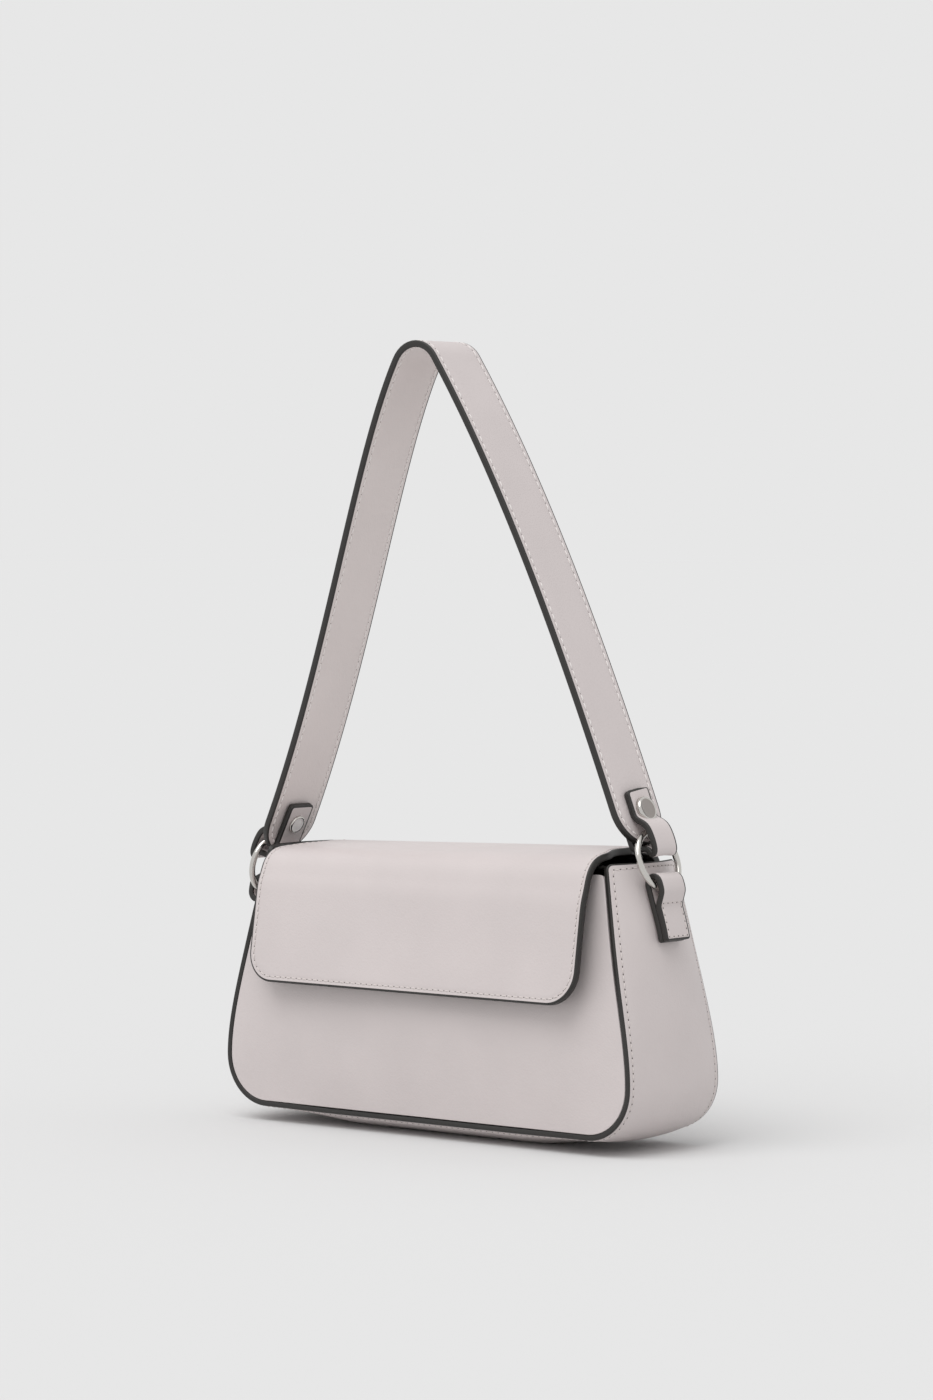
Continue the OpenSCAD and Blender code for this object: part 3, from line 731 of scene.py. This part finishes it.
def flap_point(x, s):
    """The flap's crown has sunk between the sides, more so on the left."""
    y, z = FLAP_PATH.at(s)
    weight = clamp((z - SINK_FROM_Z) / (FLAP_TOP - SINK_FROM_Z), 0, 1)
    weight = weight * weight * (3 - 2 * weight)
    return np.array([y, z - (SINK - SINK_TILT * x) * weight])


def flap_surface(x, v):
    """x runs to the right, v is minus the length along the flap's path; the fold is a little fuller."""
    s = clamp(-v, 0, FLAP_PATH.length)
    run = flap_point(x, min(s + 0.4, FLAP_PATH.length)) - flap_point(x, max(s - 0.4, 0))
    out = unit(np.array([run[1], -run[0]]))
    off = ripple(x, 10, s, FLAP_WAVES) * clamp((s - FOLD_S) / 30, 0, 1)
    off += FOLD_FULL * math.cos(math.pi / 2 * min(1, abs(s - FOLD_S) / FOLD_REACH)) ** 2
    y, z = flap_point(x, s) + out * off
    return np.array([x, y, z]), np.array([0, out[0], out[1]])


def flap_side(r):
    """One side of the front flap with its rounded corner, from the top down, in x and v."""
    length = FLAP_PATH.length
    line = [(flap_half(s), -s) for s in np.arange(SEAM_S, length - r, 2.0)]
    return line + [(FLAP_HALF - r + r * math.cos(a), -(length - r) - r * math.sin(a))
                   for a in np.linspace(0, math.pi / 2, 26)]


def flap_front_outline():
    """Anticlockwise, in x and v."""
    across = np.linspace(FLAP_HALF - FLAP_R, -FLAP_HALF + FLAP_R_LEFT, 80)[1:-1]
    bottom = [(x, -FLAP_PATH.length) for x in across]
    left = [(-x, v) for x, v in reversed(flap_side(FLAP_R_LEFT))]
    top = [(x, -SEAM_S) for x in np.linspace(-FLAP_ROOT_HALF, FLAP_ROOT_HALF, 70)[1:-1]]
    return np.array((flap_side(FLAP_R) + bottom + left + top)[::-1])


def flap_back_outline():
    """Anticlockwise, in x and v."""
    across = np.linspace(-FLAP_ROOT_HALF, FLAP_ROOT_HALF, 70)
    low = [(x, 0.0) for x in across]
    right = [(FLAP_ROOT_HALF, -s) for s in np.arange(1.0, SEAM_S, 2.0)]
    top = [(x, -SEAM_S) for x in across[::-1]]
    left = [(-x, v) for x, v in reversed(right)]
    return np.array(low + right + top + left)[::-1]


def flap_leather(name, outline, step, soft):
    look = {"groove": FLAP_SEW, "mats": (LEATHER, EDGE, DARK), "seam": -SEAM_S}
    return leather(name, outline, flap_surface, FLAP_T, step, soft, **look)


def flap_stitches(name, outline, keep):
    """Stitches along the outline where keep says, from one end of that stretch to the other."""
    line = [p for p in channel(outline, FLAP_SEW) if keep(-p[1])]
    first = next(i for i in range(len(line)) if np.linalg.norm(line[i] - line[i - 1]) > 12)
    return stitches(name, line[first:] + line[:first], flap_surface, pitch=3.45, r=0.35, hole=0.75)


def build_flap_front():
    outline = flap_front_outline()
    obj = flap_leather("flap_leather", outline, step=(3.4, 1.7), soft=0.7)
    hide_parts("flap_top", "flap_top_lining", "flap_fall", "flap_fall_lining")
    sewn = flap_stitches("flap_stitches", outline, lambda s: s > SEAM_S + SEW_OFF_SEAM)
    for piece in (obj, sewn):
        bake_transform(piece)


def build_flap_back():
    outline = flap_back_outline()
    obj = flap_leather("flap_back_leather", outline, step=(4, 1.7), soft=0.5)
    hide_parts("flap_root", "flap_root_lining")
    sewn = flap_stitches("flap_back_stitches", outline, lambda s: s < SEAM_S - SEW_OFF_SEAM)
    for piece in (obj, sewn):
        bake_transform(piece)


# Strips that run along a path in the XZ plane
def across_surface(path, d):
    """A face along a path: u runs along it, v across in Y; d is how far left of the path it lies."""
    sign = 1 if d > 0 else -1
    def surface(s, y):
        s = clamp(s, 0, path.length)
        out = path.left(s)
        x, z = path.at(s) + out * d
        return np.array([x, sign * y, z]), np.array([out[0], 0, out[1]]) * sign
    return surface


def face_out(surface, outline):
    """The surface, with v turned round where an anticlockwise outline would face against its normal."""
    u, v = outline.mean(0)
    p, normal = surface(u, v)
    if np.cross(surface(u + 0.5, v)[0] - p, surface(u, v + 0.5)[0] - p) @ normal < 0:
        return lambda u, v: surface(u, -v)
    return surface


def outer_face(path, t, hub, outline):
    """The face, of a strip that is bent round hub, that looks away from it."""
    mid = path.length / 2
    face = across_surface(path, t / 2)
    if np.linalg.norm(face(mid, 0)[0][[0, 2]] - hub) < np.linalg.norm(path.at(mid) - hub):
        face = across_surface(path, -t / 2)
    return face_out(face, outline)


# Strap
def strap_path():
    """From the left end over the arch to the right end, in x and z."""
    arch = on_arc(ARCH, ARCH_R, np.linspace(ARCH_FROM, ARCH_TO, 30))
    left = bezier([LEFT_END, LEFT_LEAN, LEFT_BOW, arch[0]], 60)
    right = bezier([arch[-1], RIGHT_BOW, RIGHT_LEAN, RIGHT_END], 60)
    return Path([*left, *arch[1:-1], *right])


def build_strap():
    path = strap_path()
    outline = strip_outline(path.length, STRAP_W, r=STRAP_W / 2 - 0.05, step=2.2)
    surface = face_out(across_surface(path, STRAP_T / 2), outline)
    under = face_out(across_surface(path, -STRAP_T / 2), outline)
    # The strap's lower face takes the lightened copy of the leather: painted light on its shaded side
    look = {"step": (3, 4.5), "soft": 0.7, "groove": STRAP_SEW, "mats": (LEATHER, EDGE, LIGHTENED_LEATHER)}
    obj = leather("strap_leather", outline, surface, STRAP_T, **look)
    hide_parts("strap_outer", "strap_inner")
    line = channel(outline, STRAP_SEW)
    sewing = {"pitch": 4.1, "closed": True, "hole": 0.6, "thread": PALE_THREAD}
    sewn = stitches("strap_stitches", line, surface, r=0.38, lift=0.12, **sewing)
    sewn_under = stitches("strap_inner_stitches", line, under, r=0.4, lift=0.2, sink=0.06, **sewing)
    for piece in (obj, sewn, sewn_under):
        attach(piece, "strap")


# Rivet heads
def rivet_profile(r, h):
    """Radius and level from the foot up the side, over the bevel and the lip, and in on the face."""
    side = [(r, -RIVET_FOOT), (r, 0.5 * h)]
    bevel = [(0.985 * r, 0.68 * h), (0.92 * r, 0.94 * h), (0.87 * r, h)]
    lip = [(0.83 * r, 0.97 * h), (0.79 * r, 0.87 * h)]
    face = [(0.4 * r, 0.92 * h), (0.1 * r, 0.95 * h)]
    return side + bevel + lip + face, len(side + bevel + lip)


def rivet_head(name, node, centre, out, r, h, painted_reflection):
    """A turned rivet head with a slightly dished face; the face and the inside of its lip are painted
    reflection, darker nickel on a cap and a pale painted highlight on a base.
    """
    out = np.array([out[0], 0, out[1]])
    across = np.array([0, 1, 0])
    up = np.cross(out, across)
    around = RIVET_AROUND
    profile, face_from = rivet_profile(r, h)
    verts = []
    for size, level in profile:
        for g in (2 * math.pi * k / around for k in range(around)):
            verts.append(centre + out * level + size * (across * math.cos(g) + up * math.sin(g)))
    faces = tube_faces(len(profile), around=around)
    faces += [tuple(range(len(verts) - around, len(verts))), tuple(reversed(range(around)))]
    if np.cross(across, up) @ out < 0:
        faces = [tuple(reversed(f)) for f in faces]
    plain = (face_from - 1) * around
    mats = [0] * plain + [1] * (len(faces) - 1 - plain) + [0]
    obj = mesh_object(name, verts, faces, [NICKEL, painted_reflection], mats)
    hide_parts(node)
    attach(obj, "strap")


# Tabs that hold the rings; n is counted outwards from the strap's middle, s up along the strap
def tab_line(outer_top, inner_top):
    """Down the outer leg, round the ring and up the inner leg, in n and s."""
    leg = TAB_LEG
    turns = [
        [(leg, 13.6), (leg + 0.2, 10.1), (8.0, 9.6), (9.0, 4.8)],
        [(9.0, 4.8), (9.6, 1.2), (9.6, -1.5), (9.2, -4.2)],
        [(9.2, -4.2), (8.8, -7.8), (5.9, -8.0), (5.7, -4.6)],
        [(5.7, -4.6), (5.4, -1.6), (-leg, -3.6), (-leg, 0.8)],
    ]
    round_ring = [q for turn in turns for q in bezier(turn, 14)]
    return [(leg, outer_top), (leg, 17), *round_ring, (-leg, 12), (-leg, inner_top)]


def build_tab(name, end, lean, side, outer_top, inner_top, rivet_s, shift, slant):
    """shift moves the tab across the strap, slant cuts the outer leg's end aslant."""
    up = unit(lean - end)
    out = side * np.array([up[1], -up[0]])
    path = Path([end + n * out + s * up for n, s in tab_line(outer_top, inner_top)])
    outline = strip_outline(path.length, TAB_W, TAB_END_R, step=0.8)
    outline[:, 0] -= slant * outline[:, 1] * np.clip(1 - outline[:, 0] / TAB_SLANT_OVER, 0, 1)
    face = outer_face(path, TAB_T, end + 2 * out + 3 * up, outline)

    def surface(u, v):
        p, normal = face(u, v)
        return p + np.array([0, shift, 0]), normal

    obj = leather(f"tab_{name}_leather", outline, surface, TAB_T, step=(1.6, 2.4), soft=0.55, paint=0.6)
    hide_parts(f"tab_{name}")
    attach(obj, "strap")
    # Each head's face takes painted reflection: darker nickel on the cap, a pale painted highlight on the
    # base
    heads = (("cap", 1, CAP_R, CAP_H, CAP_DARK_REFLECTION), ("base", -1, RIVET_BASE_R, RIVET_BASE_H, BASE_HIGHLIGHT))
    for part, way, r, h, look in heads:
        x, z = end + way * (TAB_LEG + TAB_T / 2) * out + rivet_s * up
        centre = np.array([x, RIVET_SHIFT * shift, z])
        rivet_head(f"rivet_{part}_{name}_turned", f"rivet_{part}_{name}", centre, way * out, r, h, look)


def build_tabs():
    left = {"outer_top": 25, "inner_top": 28, "rivet_s": 17.6, "shift": -0.8, "slant": 0.0}
    right = {"outer_top": 26.5, "inner_top": 22, "rivet_s": 15.6, "shift": 1.0, "slant": 0.13}
    build_tab("left", LEFT_END, LEFT_LEAN, -1, **left)
    build_tab("right", RIGHT_END, RIGHT_LEAN, 1, **right)


# Loops on the gusset that hold the rings
def wall_x(z):
    """How far out the middle of the gusset stands at a height."""
    points = [gusset_point(s, 0) for s in np.arange(0, 120, 1.0)]
    table = np.array(sorted((p[2], p[0]) for p in points))
    return float(np.interp(z, table[:, 0], table[:, 1]))


def right_loop(inner, outer, bottom, top, bend_r):
    """Up the wall, over the ring's foot and straight down again."""
    over = on_arc(top, bend_r, np.linspace(190, 10, 16))
    low = on_arc(bottom, bend_r, [5, -10])
    return inner + over + low + outer[::-1]


def left_loop(inner, outer, bottom, top, bend_r):
    """This loop has bent outwards: it arches over to the ring's foot and comes back in under it."""
    hood = [inner[-1] + offset for offset in ([-0.2, 2.4], [1.2, 4.0], [3.6, 4.6])]
    over = on_arc(top, bend_r, np.linspace(62, 5, 8))
    low = on_arc(bottom, bend_r, np.linspace(0, -165, 14))
    return inner + hood + over + low + [outer[2] + [0.4, 0.0]] + outer[:2][::-1]


def build_chape(name, side, ring, lean, loop):
    """Leather from the wall round the ring's foot and back, sewn through with a box of stitches."""
    half_t = CHAPE_T / 2
    wall = [np.array([wall_x(z) + CHAPE_WALL_GAP, z]) for z in CHAPE_WALL_Z]
    out = unit(np.array([wall[3][1] - wall[0][1], wall[0][0] - wall[3][0]]))
    inner = [p + out * half_t for p in wall]
    outer = [p + out * (3 * half_t + CHAPE_PLY_GAP) for p in wall]
    a = math.radians(lean)
    sag = RING_R - math.sqrt(RING_R**2 - CHAPE_W**2 / 4)
    rise = sag + WIRE_R + CHAPE_WIRE_GAP - CHAPE_BEND_R
    bottom = np.array([ring[0] + RING_R * math.sin(a), ring[1] - RING_R * math.cos(a)])
    top = bottom + rise * np.array([-math.sin(a), math.cos(a)])
    line = loop(inner, outer, bottom, top, CHAPE_BEND_R + half_t)
    path = Path([(side * x, z) for x, z in line])
    outline = strip_outline(path.length, CHAPE_W, CHAPE_END_R, step=1.1)
    surface = outer_face(path, CHAPE_T, np.array([side * bottom[0], bottom[1]]), outline)
    obj = leather(f"chape_{name}_leather", outline, surface, CHAPE_T, step=(1.4, 2.2), soft=0.5, paint=0.5)
    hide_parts(f"chape_{name}")
    low, high, half = path.length - CHAPE_SEW_LOW, path.length - CHAPE_SEW_HIGH, CHAPE_SEW_HALF
    box = [(low, -half), (low, half), (high, half), (high, -half), (low, -half)]
    sewn = stitches(f"chape_{name}_stitches", box, surface, pitch=3.4, r=0.34, lift=0.1, sink=0.06)
    for piece in (obj, sewn):
        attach(piece, "bag")


def build_chapes():
    build_chape("right", 1, RIGHT_RING, RIGHT_RING_LEAN, right_loop)
    build_chape("left", -1, LEFT_RING, LEFT_RING_LEAN, left_loop)


# Pieces that are shown as the CAD has them
def finish_cad_nodes():
    looks = {"lining_front": LINING, "lining_back": LINING, "lining_gusset": LINING,
             "flap_root_lining": DARK, "flap_top_lining": DARK, "flap_fall_lining": DARK,
             "base_board": BOARD, "snap_magnet": MAGNET}
    for name, node in nodes.items():
        for slot in node.material_slots:
            slot.material = looks.get(name, NICKEL)
        if name.startswith(("ring_", "rivet_", "snap_")):
            node.data.polygons.foreach_set("use_smooth", [True] * len(node.data.polygons))


# Studio, in metres and degrees, with the camera where the photo's was
WORLD_LIGHT = 0.74
SUN_LIGHT = 1.35
SUN_WIDTH = 50
SUN_FROM = (0.0, -0.235, 0.43)
FLOOR_SIZE = 80
FLOOR_COLOUR = srgb(220, 220, 220)
BACKDROP_COLOUR = srgb(231, 231, 231)
CAMERA_AZIMUTH = 39.9
CAMERA_PITCH = 2.05
CAMERA_AWAY = 2.1863
AIM_RIGHT = -0.00017
AIM_UP = 0.2073
SENSOR = 36
FOCAL_LENGTH_PX = 4567.2
PHOTO_HEIGHT_PX = 1400


def build_floor():
    bpy.ops.mesh.primitive_plane_add(size=FLOOR_SIZE, location=(0, 0, 0))
    floor = bpy.context.object
    floor.name = "floor"
    look, _, shader = new_material("floor")
    set_inputs(shader, {"Base Color": (*FLOOR_COLOUR, 1), "Roughness": 0.9, "Specular IOR Level": 0.0})
    floor.data.materials.append(look)


def build_world():
    """White light from all round; the camera and mirrored rays see a pale grey backdrop in its place."""
    world = bpy.data.worlds.new("studio")
    bpy.context.scene.world = world
    world.use_nodes = True
    tree = world.node_tree
    light = set_inputs(tree.nodes["Background"], {"Color": (1, 1, 1, 1), "Strength": WORLD_LIGHT})
    backdrop = add_node(tree, "ShaderNodeBackground", {"Color": (*BACKDROP_COLOUR, 1)})
    rays = add_node(tree, "ShaderNodeLightPath")
    either = add_node(tree, "ShaderNodeMath")
    either.operation = "MAXIMUM"
    mix = add_node(tree, "ShaderNodeMixShader")
    tree.links.new(rays.outputs["Is Camera Ray"], either.inputs[0])
    tree.links.new(rays.outputs["Is Glossy Ray"], either.inputs[1])
    tree.links.new(either.outputs[0], mix.inputs[0])
    tree.links.new(light.outputs[0], mix.inputs[1])
    tree.links.new(backdrop.outputs[0], mix.inputs[2])
    tree.links.new(mix.outputs[0], tree.nodes["World Output"].inputs["Surface"])


def build_sun():
    lamp = bpy.data.lights.new("key", "SUN")
    lamp.energy = SUN_LIGHT
    lamp.angle = math.radians(SUN_WIDTH)
    sun = bpy.data.objects.new("key", lamp)
    sun.rotation_euler = Vector(SUN_FROM).to_track_quat("Z", "Y").to_euler()
    bpy.context.scene.collection.objects.link(sun)


def build_camera():
    scene = bpy.context.scene
    azimuth, pitch = math.radians(CAMERA_AZIMUTH), math.radians(CAMERA_PITCH)
    level = math.cos(pitch)
    forward = Vector((-math.sin(azimuth) * level, math.cos(azimuth) * level, -math.sin(pitch)))
    right = Vector((math.cos(azimuth), math.sin(azimuth), 0))
    aim = right * AIM_RIGHT + Vector((0, 0, AIM_UP))
    camera = bpy.data.cameras.new("camera")
    camera.sensor_fit = "VERTICAL"
    camera.sensor_height = SENSOR
    camera.lens = SENSOR * FOCAL_LENGTH_PX / PHOTO_HEIGHT_PX
    view = bpy.data.objects.new("camera", camera)
    view.location = aim - forward * CAMERA_AWAY
    view.rotation_euler = forward.to_track_quat("-Z", "Y").to_euler()
    scene.collection.objects.link(view)
    scene.camera = view
    scene.view_settings.view_transform = "Standard"


build_panels()
build_gusset()
build_flap_front()
build_flap_back()
build_strap()
build_tabs()
build_chapes()
finish_cad_nodes()
build_floor()
build_world()
build_sun()
build_camera()
